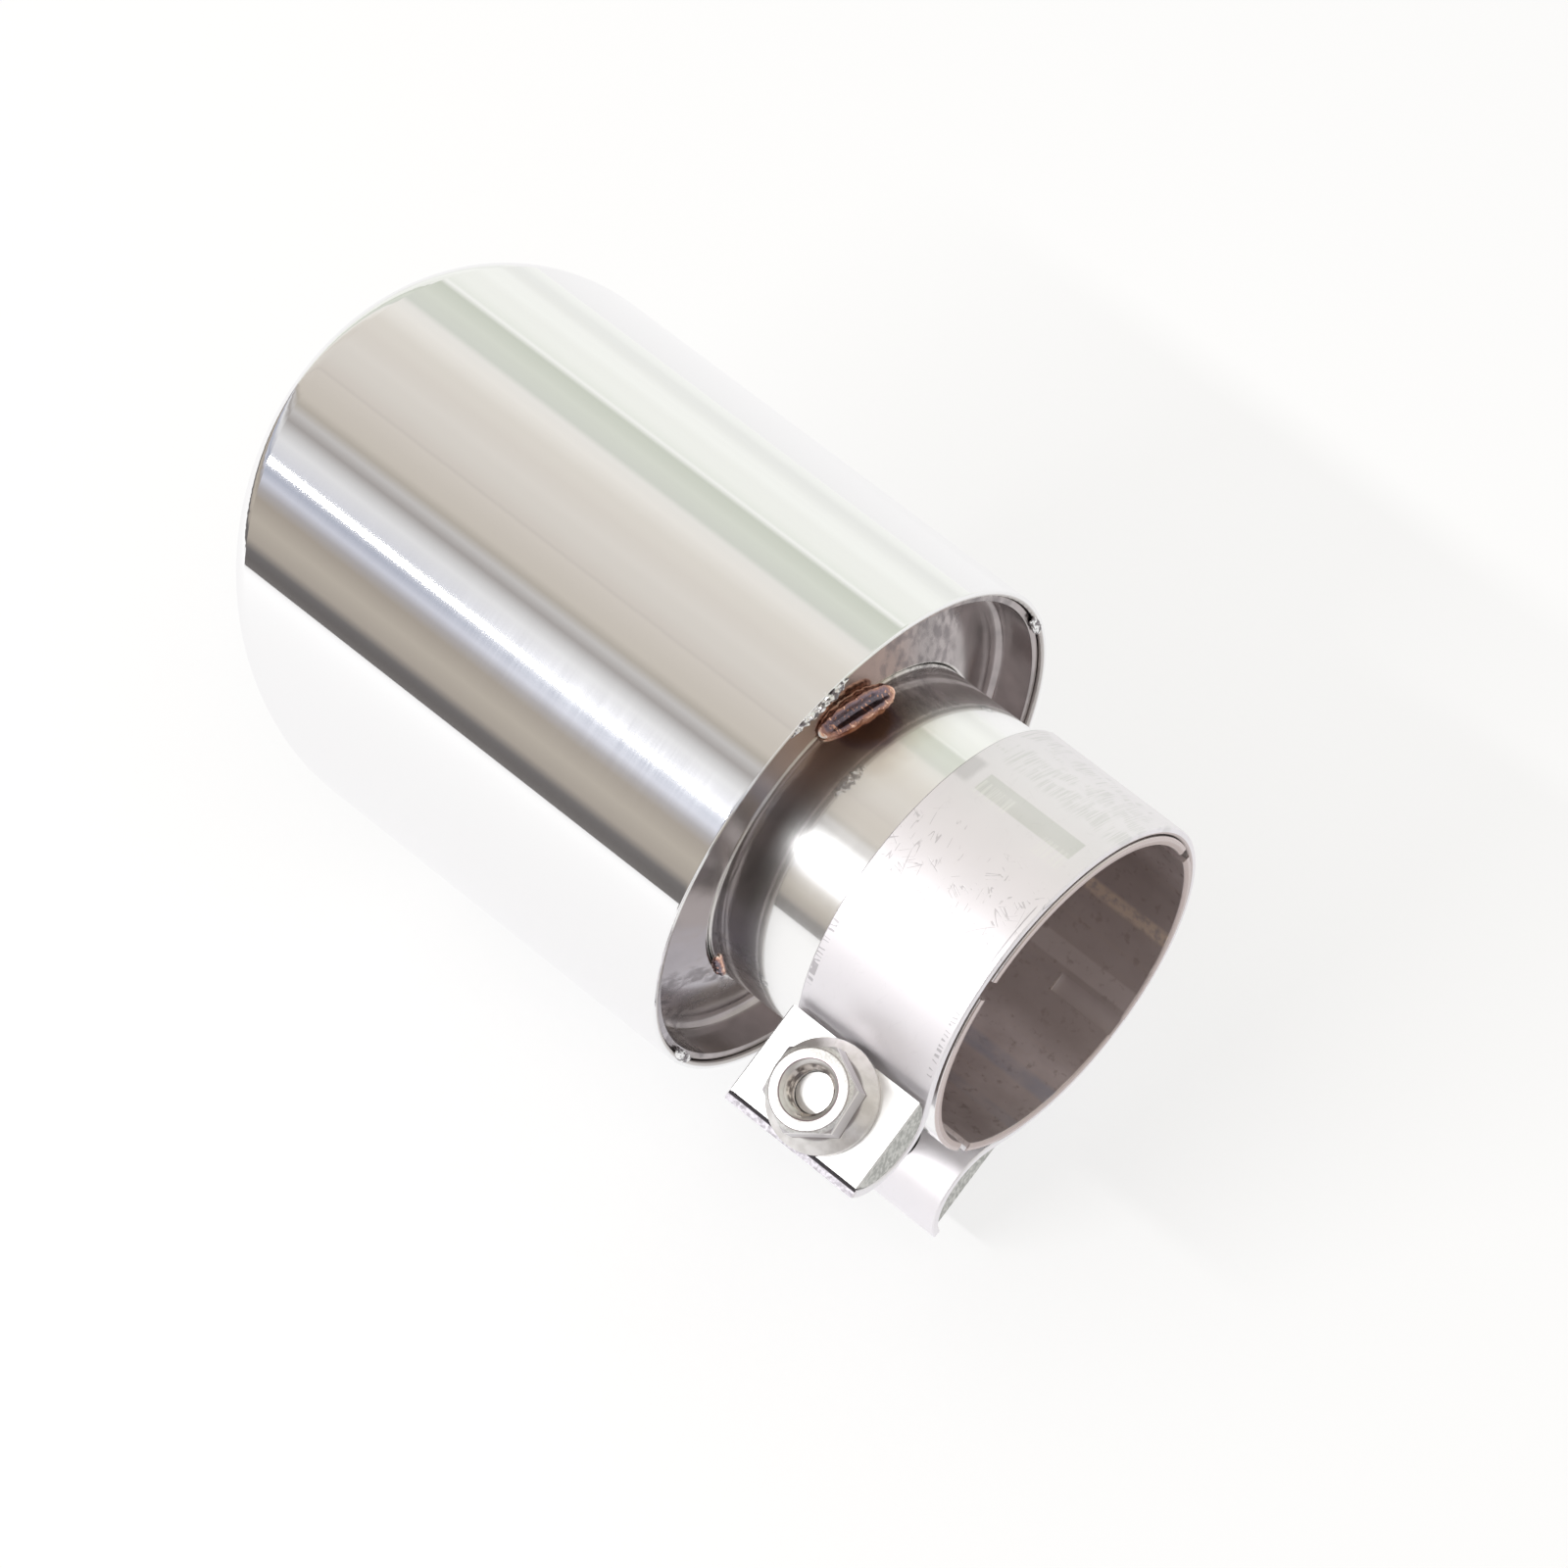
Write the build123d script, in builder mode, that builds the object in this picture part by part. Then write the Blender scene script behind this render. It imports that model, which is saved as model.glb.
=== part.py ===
from build123d import *
from math import asin, atan, atan2, cos, degrees, hypot, radians, sin, sqrt, tan
import os

# Exhaust tip: a polished, slash-cut shell on a slotted inlet pipe with a bolted clamp.
# It lies on its side, on the shell's lowest line and the rim of the clamp bolt's head.
# X runs along the pipe towards the inlet and Z is up. The origin is the centre of the
# inlet pipe's open end. Angles round the pipe start at +Y and turn towards +Z.

# Inlet pipe
PIPE_R = 29.0
PIPE_WALL = 1.5
PIPE_REACH = 43.3  # from the shell's rear rim to the open end
PIPE_PAST_PLATE = 12.0  # inner end, behind the back plate
PIPE_EDGE = 0.35  # rounding of the open end
SLOT_WIDTH = 3.2
SLOT_LENGTH = 12.5
SLOT_ANGLES = (17.0, 129.0, 218.0, 298.0)

# Outer shell
SHELL_R = 44.5
SHELL_WALL = 1.2
SHELL_EDGE = 0.3  # rounding of the rear rim
SHELL_LENGTH = 80.7  # rear rim to the slash cut, along the axis
SLASH_ANGLE = 27.5
SLASH_ROLL = 12.5  # from the top towards the clamp side
LIP_R = 3.5  # outer bend of the rolled lip
LIP_RETURN_R = 3.0  # bend back into the mouth
LIP_WIDTH = 8.5  # shell's outside to the mouth
LIP_SLEEVE = 7.5  # how deep the turned-in edge reaches

# Back plate
PLATE_WALL = 1.2
PLATE_EDGE = 0.25  # rounding of the flange's edge
PLATE_FLANGE_GAP = 0.15  # between its flange and the shell
PLATE_FLANGE_INSET = 0.7  # flange edge behind the shell's rim
PLATE_DEPTH = 8.6  # rim to the corner of the fold
PLATE_RISE = 5.9  # corner of the fold to the edge of the pipe hole
PLATE_FOLD_R = 1.6
PLATE_HOLE_GAP = 0.1
PLATE_HOLE_EDGE = 0.45  # rounding of the hole's front edge

# Weld beads
PIPE_WELD_CROWN = 0.25  # share of the leg
PIPE_WELD_PLACES = {"pipe_weld_top": (86.0, 25.0, 3.3), "pipe_weld_side": (193.0, 14.0, 2.0),
                    "pipe_weld_far": (308.0, 18.0, 3.0)}  # middle and span in degrees, leg
RIM_WELD_CROWN = 0.75
RIM_WELD_ON_SHELL = 0.85
RIM_WELD_ON_FLANGE = 0.9
RIM_WELD_PLACES = {"rim_weld_top": (100.5, 13.0), "rim_weld_side": (207.0, 9.0),
                   "rim_weld_low": (291.0, 8.0), "rim_weld_far": (15.5, 8.0)}

# Clamp strap
STRAP_WALL = 1.4
STRAP_WIDTH = 26.0
STRAP_GAP = 0.3  # round the pipe
CLAMP_LEAN = 0.25  # how far the loose clamp sits off the pipe's axis
CLAMP_LEAN_ANGLE = 150.0
STRAP_INSET = 0.4  # its edge behind the pipe's open end
STRAP_EDGE = 0.2  # bevel along both edges
CLAMP_DROP = 28.3  # gap's middle below the level, on the -Y side
BOW_HEIGHT = 21.8  # bow's centre from the gap's middle
STRAP_STRAIGHT = 5.6  # between the band round the pipe and each bow
STRAP_LIP_DROP = 0.3  # its ends below the spacers' flats
BOLT_HOLE_R = 4.5

# Half-round spacers
SPACER_R = 8.0
SPACER_THICKNESS = 7.1
SPACER_GAP = 0.5  # how much wider the bow is than the spacer
SPACER_EDGE = 0.25  # bevel round both ends
SPACER_END_GAP = 0.1  # inside the strap's edges
LOWER_SPACER_SHIFT = 1.0  # the lower one sits further from the inlet

# Nut and bolt
BOLT_R = 3.9
BOLT_SHIFT = 0.2  # outwards, against the side of its holes
BOLT_TIP_DEPTH = 3.6  # its end below the nut's crown
BOLT_TIP_CHAMFER = 0.7
THREAD_GAP = 0.05
FLANGE_R = 8.95
FLANGE_RIM = 1.1
FLANGE_RISE = 1.5
ACROSS_FLATS = 13.0
NUT_HEIGHT = 7.4
NUT_TURN = 35.0
HEAD_HEIGHT = 8.94  # its rim reaches the floor the part lies on
HEAD_TURN = 12.0
CROWN_R = 6.2  # round of the hex's end face
CROWN_DROP = 0.7
COUNTERSINK_R = 4.7

# Places worked out from the sizes
RIM_X = -PIPE_REACH
PLATE_BOTTOM_X = RIM_X - PLATE_DEPTH
PLATE_HOLE_X = PLATE_BOTTOM_X + PLATE_RISE
FLANGE_OUTER_R = SHELL_R - SHELL_WALL - PLATE_FLANGE_GAP
FLANGE_INNER_R = FLANGE_OUTER_R - PLATE_WALL
FLANGE_EDGE_X = RIM_X - PLATE_FLANGE_INSET
PIPE_BACK_X = PLATE_BOTTOM_X - PIPE_PAST_PLATE
MOUTH_R = SHELL_R - LIP_WIDTH
LONG_SIDE = SHELL_LENGTH + SHELL_R * tan(radians(SLASH_ANGLE))
STOCK_LENGTH = LONG_SIDE + SHELL_R
STRAP_X = -STRAP_INSET
BOLT_X = STRAP_X - STRAP_WIDTH / 2
BAND_R = PIPE_R + STRAP_GAP + STRAP_WALL / 2  # middle of the strap on the pipe
BOW_R = SPACER_R + SPACER_GAP / 2 + STRAP_WALL / 2  # middle of the strap round a spacer
BOW_REACH = hypot(BAND_R + BOW_R, STRAP_STRAIGHT)  # bow's centre from the pipe's axis
BOW_OFFSET = sqrt(BOW_REACH**2 - BOW_HEIGHT**2)
BOLT_OFFSET = BOW_OFFSET + BOLT_SHIFT
SPACER_CENTRE = BOW_HEIGHT - SPACER_GAP / 2
SEAT_HEIGHT = SPACER_CENTRE - SPACER_R + SPACER_THICKNESS  # flat from the gap's middle


def radial(angle):
    """Unit vector away from the pipe's axis at an angle round it."""
    return Vector(0, cos(radians(angle)), sin(radians(angle)))


def section_plane(angle):
    """Half plane through the axis: x along the pipe, y outwards."""
    return Plane(origin=(0, 0, 0), x_dir=(1, 0, 0), z_dir=radial(angle + 90))


def slash_plane(inset):
    """Plane of the slash cut, moved inwards by inset and facing the outlet."""
    long_side = radial(90 + SLASH_ROLL)
    lean = radians(SLASH_ANGLE)
    facing = Vector(-cos(lean), 0, 0) - long_side * sin(lean)
    return Plane(origin=Vector(RIM_X - SHELL_LENGTH, 0, 0) - facing * inset, z_dir=facing)


def slashed_cylinder(radius, inset):
    """Solid cylinder from the rear rim to the slash cut moved in by inset."""
    with BuildPart() as cylinder:
        with BuildSketch(Plane.YZ.offset(RIM_X)):
            Circle(radius)
        extrude(amount=-STOCK_LENGTH)
        split(bisect_by=slash_plane(inset), keep=Keep.BOTTOM)
    return cylinder.part


def rolled_ring(outer, inner, inset, outer_bend, inner_bend):
    """Thick tube whose slash-cut end is rounded on both edges."""
    with BuildPart() as ring:
        add(slashed_cylinder(outer, inset))
        cut_face = ring.faces().filter_by(GeomType.PLANE).sort_by(Axis.X)[0]
        fillet(cut_face.edges(), outer_bend)
        with BuildSketch(Plane.YZ.offset(RIM_X)):
            Circle(inner)
        extrude(amount=-STOCK_LENGTH, mode=Mode.SUBTRACT)
        cut_face = ring.faces().filter_by(GeomType.PLANE).sort_by(Axis.X)[0]
        fillet(cut_face.edges().sort_by(SortBy.LENGTH)[0], inner_bend)
    return ring.part


# Outer shell: one sheet, rolled in at the slash cut
with BuildPart() as outer_shell:
    add(rolled_ring(SHELL_R, MOUTH_R, 0, LIP_R, LIP_RETURN_R))
    add(rolled_ring(SHELL_R - SHELL_WALL, MOUTH_R + SHELL_WALL, SHELL_WALL,
                    LIP_R - SHELL_WALL, LIP_RETURN_R - SHELL_WALL), mode=Mode.SUBTRACT)
    add(slashed_cylinder(SHELL_R - SHELL_WALL, LIP_SLEEVE), mode=Mode.SUBTRACT)
    fillet(outer_shell.edges().group_by(Axis.X)[-1], SHELL_EDGE)
outer_shell.part.label = "outer_shell"

# Back plate: a pressed dish, its flange inside the shell and its middle raised to the pipe
with BuildPart() as back_plate:
    with BuildSketch(Plane.XZ):
        with BuildLine():
            front = FilletPolyline((FLANGE_EDGE_X, FLANGE_INNER_R), (PLATE_BOTTOM_X, FLANGE_INNER_R),
                                   (PLATE_HOLE_X, PIPE_R), radius=PLATE_FOLD_R)
            offset(front, amount=PLATE_WALL, side=Side.RIGHT)
        make_face()
    revolve(axis=Axis.X)
    with BuildSketch(Plane.YZ.offset(RIM_X)):
        Circle(PIPE_R + PLATE_HOLE_GAP)
    extrude(amount=-(PLATE_DEPTH + PLATE_WALL), mode=Mode.SUBTRACT)
    fillet(back_plate.edges(Select.LAST).filter_by(GeomType.CIRCLE).sort_by(Axis.X)[-1], PLATE_HOLE_EDGE)
    fillet(back_plate.edges().group_by(Axis.X)[-1], PLATE_EDGE)
back_plate.part.label = "back_plate"

# Inlet pipe: slotted at its open end so that the clamp can close it
with BuildPart() as inlet_pipe:
    with BuildSketch(Plane.YZ):
        Circle(PIPE_R)
        Circle(PIPE_R - PIPE_WALL, mode=Mode.SUBTRACT)
    extrude(amount=PIPE_BACK_X)
    fillet(inlet_pipe.edges().group_by(Axis.X)[-1], PIPE_EDGE)
    for slot_angle in SLOT_ANGLES:
        with BuildSketch(Plane(origin=(0, 0, 0), x_dir=(1, 0, 0), z_dir=radial(slot_angle))):
            Rectangle(2 * SLOT_LENGTH, SLOT_WIDTH)
        extrude(amount=PIPE_R + PIPE_WALL, mode=Mode.SUBTRACT)
inlet_pipe.part.label = "inlet_pipe"


def plate_front_x(radius):
    """X of the back plate's front face where it slopes up to the pipe."""
    share = (radius - PIPE_R) / (FLANGE_INNER_R - PIPE_R)
    return PLATE_HOLE_X - PLATE_RISE * share


def pipe_weld(name, middle, span, leg):
    """Fillet bead in the corner between the pipe and the back plate."""
    hole_r = PIPE_R + PLATE_HOLE_GAP
    foot_r = PIPE_R + leg
    on_pipe = (plate_front_x(hole_r) + leg, PIPE_R)
    on_plate = (plate_front_x(foot_r), foot_r)
    crown = ((on_pipe[0] + on_plate[0]) / 2 + leg * PIPE_WELD_CROWN,
             (on_pipe[1] + on_plate[1]) / 2 + leg * PIPE_WELD_CROWN)
    with BuildPart() as bead:
        with BuildSketch(section_plane(middle - span / 2)):
            with BuildLine():
                Polyline(on_plate, (plate_front_x(hole_r), hole_r), (plate_front_x(hole_r), PIPE_R), on_pipe)
                ThreePointArc(on_pipe, crown, on_plate)
            make_face()
        revolve(axis=Axis.X, revolution_arc=span)
    bead.part.label = name
    return bead.part


def rim_weld(name, middle, span):
    """Tack across the gap between the shell's rim and the back plate's flange."""
    shell_inner_r = SHELL_R - SHELL_WALL
    on_shell = (RIM_X, shell_inner_r + RIM_WELD_ON_SHELL)
    on_flange = (FLANGE_EDGE_X, FLANGE_OUTER_R - RIM_WELD_ON_FLANGE)
    crown = (RIM_X + RIM_WELD_CROWN, (on_shell[1] + on_flange[1]) / 2)
    with BuildPart() as bead:
        with BuildSketch(section_plane(middle - span / 2)):
            with BuildLine():
                Polyline(on_shell, (RIM_X, shell_inner_r), (FLANGE_EDGE_X, shell_inner_r), on_flange)
                ThreePointArc(on_flange, crown, on_shell)
            make_face()
        revolve(axis=Axis.X, revolution_arc=span)
    bead.part.label = name
    return bead.part


pipe_welds = [pipe_weld(name, *place) for name, place in PIPE_WELD_PLACES.items()]
rim_welds = [rim_weld(name, *place) for name, place in RIM_WELD_PLACES.items()]

# Clamp: in its own section, x points through the gap and y to the upper ear
CLAMP_CENTRE = radial(CLAMP_LEAN_ANGLE) * CLAMP_LEAN
GAP_DIRECTION = radial(180 + CLAMP_DROP)
EAR_DIRECTION = radial(90 + CLAMP_DROP)


def clamp_section(x):
    """Cross plane of the clamp at x, facing the shell."""
    return Plane(origin=CLAMP_CENTRE + Vector(x, 0, 0), x_dir=GAP_DIRECTION, z_dir=(-1, 0, 0))


def bolt_plane(height, offset=BOLT_OFFSET):
    """Plane across the bolt's axis, height above the gap's middle, facing the upper ear."""
    origin = CLAMP_CENTRE + Vector(BOLT_X, 0, 0) + GAP_DIRECTION * offset + EAR_DIRECTION * height
    return Plane(origin=origin, x_dir=(1, 0, 0), z_dir=EAR_DIRECTION)


def flipped(plane):
    """The same plane facing the other way."""
    return Plane(origin=plane.origin, x_dir=plane.x_dir, z_dir=-plane.z_dir)


def rod_below(top, radius, depth):
    """Solid rod down from a plane."""
    with BuildPart() as rod:
        with BuildSketch(top):
            Circle(radius)
        extrude(amount=-depth)
    return rod.part


bolt_hole = rod_below(bolt_plane(2 * BOW_HEIGHT, BOW_OFFSET), BOLT_HOLE_R, 4 * BOW_HEIGHT)


# Clamp strap: round the pipe, then off it in a straight line and round each spacer
lift_off = degrees(atan2(BOW_HEIGHT, BOW_OFFSET) + atan(STRAP_STRAIGHT / (BAND_R + BOW_R)))
short_of_half = degrees(asin((BOW_HEIGHT - SEAT_HEIGHT + STRAP_LIP_DROP) / BOW_R))
bow_sweep = 180 - short_of_half - lift_off
with BuildPart() as clamp_strap:
    with BuildSketch(clamp_section(STRAP_X)):
        with BuildLine():
            band = CenterArc((0, 0), BAND_R, lift_off, 360 - 2 * lift_off)
            upper_bow = CenterArc((BOW_OFFSET, BOW_HEIGHT), BOW_R, lift_off + 180, bow_sweep)
            lower_bow = CenterArc((BOW_OFFSET, -BOW_HEIGHT), BOW_R, 180 - lift_off, -bow_sweep)
            Line(band @ 0, upper_bow @ 0)
            Line(band @ 1, lower_bow @ 0)
        trace(line_width=STRAP_WALL)
    extrude(amount=STRAP_WIDTH)
    chamfer(clamp_strap.edges().group_by(Axis.X)[0] + clamp_strap.edges().group_by(Axis.X)[-1], STRAP_EDGE)
    add(bolt_hole, mode=Mode.SUBTRACT)
clamp_strap.part.label = "clamp_strap"


def half_round_spacer(name, side, shift):
    """Half-round bar, its flat outwards; side is 1 for the upper ear and -1 for the lower."""
    with BuildPart() as spacer:
        with BuildSketch(clamp_section(STRAP_X - SPACER_END_GAP - shift)):
            with Locations((BOW_OFFSET, side * SPACER_CENTRE)):
                Circle(SPACER_R)
            with Locations((BOW_OFFSET, side * (SEAT_HEIGHT + SPACER_R))):
                Rectangle(2 * SPACER_R, 2 * SPACER_R, mode=Mode.SUBTRACT)
        extrude(amount=STRAP_WIDTH - 2 * SPACER_END_GAP)
        chamfer(spacer.edges().group_by(Axis.X)[0] + spacer.edges().group_by(Axis.X)[-1], SPACER_EDGE)
        add(bolt_hole, mode=Mode.SUBTRACT)
    spacer.part.label = name
    return spacer.part


upper_spacer = half_round_spacer("upper_spacer", 1, 0)
lower_spacer = half_round_spacer("lower_spacer", -1, LOWER_SPACER_SHIFT)


def flanged_hex(seat, height, turn):
    """Hex on a sloped round flange, standing on its seat, with a turned crown."""
    corner_r = ACROSS_FLATS / 2 / cos(radians(30))
    section = Plane(origin=seat.origin, x_dir=seat.x_dir, z_dir=-seat.y_dir)
    axis = Axis(seat.origin, seat.z_dir)
    with BuildPart() as body:
        with BuildSketch(seat):
            RegularPolygon(ACROSS_FLATS / 2, 6, major_radius=False, rotation=turn)
        extrude(amount=height)
        with BuildSketch(section):
            Polygon((0, 0), (corner_r, 0), (corner_r, height - CROWN_DROP), (CROWN_R, height), (0, height),
                    align=None)
        revolve(axis=axis, mode=Mode.INTERSECT)
        with BuildSketch(section):
            Polygon((0, 0), (FLANGE_R, 0), (FLANGE_R, FLANGE_RIM),
                    (ACROSS_FLATS / 2, FLANGE_RIM + FLANGE_RISE), (0, FLANGE_RIM + FLANGE_RISE), align=None)
        revolve(axis=axis)
    return body.part


# Flange nut on the upper spacer
with BuildPart() as flange_nut:
    add(flanged_hex(bolt_plane(SEAT_HEIGHT), NUT_HEIGHT, NUT_TURN))
    add(rod_below(bolt_plane(SEAT_HEIGHT + NUT_HEIGHT), BOLT_R + THREAD_GAP, NUT_HEIGHT), mode=Mode.SUBTRACT)
    chamfer(flange_nut.edges().filter_by(GeomType.CIRCLE).sort_by(SortBy.RADIUS)[:2],
            COUNTERSINK_R - BOLT_R - THREAD_GAP)
flange_nut.part.label = "flange_nut"

# Clamp bolt, up from the lower spacer, its end just inside the nut
with BuildPart() as clamp_bolt:
    add(flanged_hex(flipped(bolt_plane(-SEAT_HEIGHT)), HEAD_HEIGHT, HEAD_TURN))
    with BuildSketch(bolt_plane(-SEAT_HEIGHT)):
        Circle(BOLT_R)
    extrude(amount=2 * SEAT_HEIGHT + NUT_HEIGHT - BOLT_TIP_DEPTH)
    tip = clamp_bolt.faces().filter_by(GeomType.PLANE).sort_by(Axis((0, 0, 0), EAR_DIRECTION))[-1]
    chamfer(tip.edges(), BOLT_TIP_CHAMFER)
clamp_bolt.part.label = "clamp_bolt"

os.makedirs("parts", exist_ok=True)
pieces = [outer_shell.part, back_plate.part, inlet_pipe.part, *pipe_welds, *rim_welds,
          clamp_strap.part, upper_spacer, lower_spacer, clamp_bolt.part, flange_nut.part]
for piece in pieces:
    export_step(piece, f"parts/{piece.label}.step")
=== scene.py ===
# %% [markdown]
# # A clamp-on exhaust tip
#
# The object is a polished stainless tip for a car's exhaust: a wide outer shell with a rolled,
# slash-cut mouth, a narrow inlet pipe welded into it through a pressed back plate, and a strap
# clamp with a flange nut that squeezes the slotted pipe onto the car's own tail pipe.
#
# The solids come from the CAD model, and this file dresses them. Their meshes stay as they are:
# a solid whose shape is right only gets a better finish, and one that needs more form, such as a
# weld bead or a thread, is replaced by a new piece in the same place.

# %% Load the CAD model
from math import cos, exp, pi, radians, sin

import bmesh
import bpy
from mathutils import Matrix, Vector, noise


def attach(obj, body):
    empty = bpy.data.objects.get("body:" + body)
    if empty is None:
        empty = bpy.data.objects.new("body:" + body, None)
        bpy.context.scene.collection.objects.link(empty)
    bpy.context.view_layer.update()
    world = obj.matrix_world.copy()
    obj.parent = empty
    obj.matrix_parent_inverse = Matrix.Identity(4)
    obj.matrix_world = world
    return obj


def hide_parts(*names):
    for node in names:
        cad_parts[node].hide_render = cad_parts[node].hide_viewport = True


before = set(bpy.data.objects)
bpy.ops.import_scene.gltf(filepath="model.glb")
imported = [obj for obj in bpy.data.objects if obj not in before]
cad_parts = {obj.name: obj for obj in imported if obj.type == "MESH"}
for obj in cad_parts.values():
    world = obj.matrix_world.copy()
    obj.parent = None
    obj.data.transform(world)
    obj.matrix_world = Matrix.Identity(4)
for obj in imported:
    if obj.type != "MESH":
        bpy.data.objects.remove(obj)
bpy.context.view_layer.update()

# %% [markdown]
# ## Where things are
#
# Blender works in metres, and the sizes below are the CAD model's own, in millimetres. X runs
# along the pipe towards the inlet and Z is up. Angles round the pipe start at +Y and turn towards
# +Z, which is how a drawing of the pipe's open end would be read.
#
# The clamp has axes of its own: one up the bolt, and one out from the pipe through the gap
# between the strap's two ears. Heights on the clamp are measured from the middle of that gap.

# %% Sizes shared with the CAD model
MM = 0.001
PIPE_R = 29.0
SHELL_R = 44.5
GAP_DROP = 28.3  # the gap points this many degrees below -Y
STRAP_MIDDLE = Vector((-13.4, -0.2165, 0.125))
BOLT_OFFSET = 32.96
SEAT_HEIGHT = 20.65  # a spacer's flat, where the nut sits
BOW_HEIGHT = 21.8  # middle of the strap's bow round a spacer


def radial(angle):
    """Unit vector away from the pipe's axis, at an angle round it in degrees."""
    return Vector((0, cos(radians(angle)), sin(radians(angle))))


ALONG_PIPE = Vector((1, 0, 0))
UP_THE_BOLT = radial(90 + GAP_DROP)
OUT_OF_GAP = radial(180 + GAP_DROP)
BOLT_CENTRE = STRAP_MIDDLE + OUT_OF_GAP * BOLT_OFFSET
print("bolt centre in mm:", [round(v, 2) for v in BOLT_CENTRE])

# %% [markdown]
# ## The camera
#
# The tip was photographed from above with a long lens, so its parallel lines hardly converge. The
# camera's three axes are written down as vectors: they are the columns of its turning matrix.

# %% Camera
SENSOR_WIDTH = 36
LENS = 173.6
CAMERA_PLACE = (0.37973, -0.47211, 0.96622)
CAMERA_RIGHT = (0.73353, 0.67965, 0)
CAMERA_UP = (-0.56590, 0.61076, 0.55384)
CAMERA_BACK = (0.37642, -0.40626, 0.83262)

camera_data = bpy.data.cameras.new("camera")
camera_data.sensor_width = SENSOR_WIDTH
camera_data.lens = LENS
camera = bpy.data.objects.new("camera", camera_data)
bpy.context.scene.collection.objects.link(camera)
turn = Matrix((CAMERA_RIGHT, CAMERA_UP, CAMERA_BACK)).transposed().to_4x4()
camera.matrix_world = Matrix.Translation(CAMERA_PLACE) @ turn
bpy.context.scene.camera = camera
print("camera at", [round(v, 2) for v in camera.matrix_world.translation])

# %% [markdown]
# ## Writing shader maths as Python
#
# A finish is a tree of nodes, and most of its nodes are arithmetic. A small class that wraps one
# output socket and overloads Python's operators lets the arithmetic be written as it is thought:
# `1 - mask` adds one Math node. Every other kind of node comes from one method, `node`.


# %% A wire that does arithmetic
class Wire:
    """One output socket in a node tree."""

    def __init__(self, tree, socket=None):
        self.tree = tree
        self.socket = socket

    def node(self, kind, settings=None, output=0, inputs=None):
        """Adds a node: its settings first, then its sockets, by name or number."""
        made = self.tree.nodes.new("ShaderNode" + kind)
        for name, value in (settings or {}).items():
            if name == "stops":
                set_stops(made.color_ramp, value)
            else:
                setattr(made, name, value)
        for key, value in (inputs or {}).items():
            plug(self.tree, made.inputs[key], value)
        return Wire(self.tree, made.outputs[output] if made.outputs else None)

    def math(self, operation, *values):
        return self.node("Math", {"operation": operation}, inputs=dict(enumerate(values)))

    def vector(self, operation, *values, output=0):
        return self.node("VectorMath", {"operation": operation}, output, dict(enumerate(values)))

    def __add__(self, other):
        return self.math("ADD", self, other)

    def __sub__(self, other):
        return self.math("SUBTRACT", self, other)

    def __rsub__(self, other):
        return self.math("SUBTRACT", other, self)

    def __mul__(self, other):
        return self.math("MULTIPLY", self, other)

    def __truediv__(self, other):
        return self.math("DIVIDE", self, other)

    def __pow__(self, other):
        return self.math("POWER", self, other)

    __radd__ = __add__
    __rmul__ = __mul__

    def unsigned(self):
        """The number without its sign."""
        return self.math("ABSOLUTE", self)

    def lesser(self, other):
        return self.math("MINIMUM", self, other)

    def fade(self, low, high):
        """Rises smoothly from 0 at low to 1 at high, or falls where low is the higher."""
        return self.node("MapRange", {"interpolation_type": "SMOOTHSTEP"},
                         inputs={"Value": self, "From Min": low, "From Max": high})

    def near(self, centre, half_width, edge):
        """1 within half_width of centre, fading to 0 over the edge."""
        return (self - centre).unsigned().fade(half_width + edge, half_width)

    def axes(self):
        """The three numbers of a vector."""
        split = self.node("SeparateXYZ", inputs={0: self})
        return [Wire(self.tree, socket) for socket in split.socket.node.outputs]

    def distance(self, point):
        """Distance of a place from a point."""
        return self.vector("DISTANCE", self, tuple(point), output="Value")

    def along(self, axis, origin=Vector()):
        """How far a place is from an origin, measured along an axis."""
        return self.vector("DOT_PRODUCT", self, tuple(axis), output="Value") - origin.dot(axis)

    def grain(self, *per_mm, detail=2.0):
        """Noise from 0 to 1 at a place, with about so many changes a millimetre along X, Y and Z."""
        stretched = self.vector("MULTIPLY", self, per_mm)
        return self.node("TexNoise", inputs={"Vector": stretched, "Scale": 1.0, "Detail": detail})


def plug(tree, socket, value):
    """Links a wire to a socket, or sets a plain value on it."""
    if isinstance(value, Wire):
        tree.links.new(value.socket, socket)
    else:
        socket.default_value = value


def set_stops(ramp, stops):
    """Gives a colour ramp its (position, colour) stops."""
    while len(ramp.elements) < len(stops):
        ramp.elements.new(1.0)
    for element, (position, colour) in zip(ramp.elements, stops):
        element.position = position
        element.color = (*colour, 1)


def blended(factor, first, second):
    """Mixes two colours, each a wire or a plain (r, g, b)."""
    ends = [value if isinstance(value, Wire) else (*value, 1) for value in (first, second)]
    return factor.node("Mix", {"data_type": "RGBA"}, 2, {0: factor, 6: ends[0], 7: ends[1]})


print("wires ready")

# %% [markdown]
# ## The studio
#
# Polished steel has almost no colour of its own: it is a picture of the room. The room is a dome
# that the world shader paints by direction, with a pale window, a warm ceiling, a few darker edges
# that draw the long dark lines down the shell, and a taupe wall on the clamp's side. The tip lies
# along X, so the dome is painted by one angle: up from +Y, over the top and down to -Y. The angle
# is taken without its sign, so the room is repeated upside down below the horizon, and the dark
# skirting reaches down to the floor's edge.
#
# The camera itself sees plain white where the floor ends.

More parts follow.
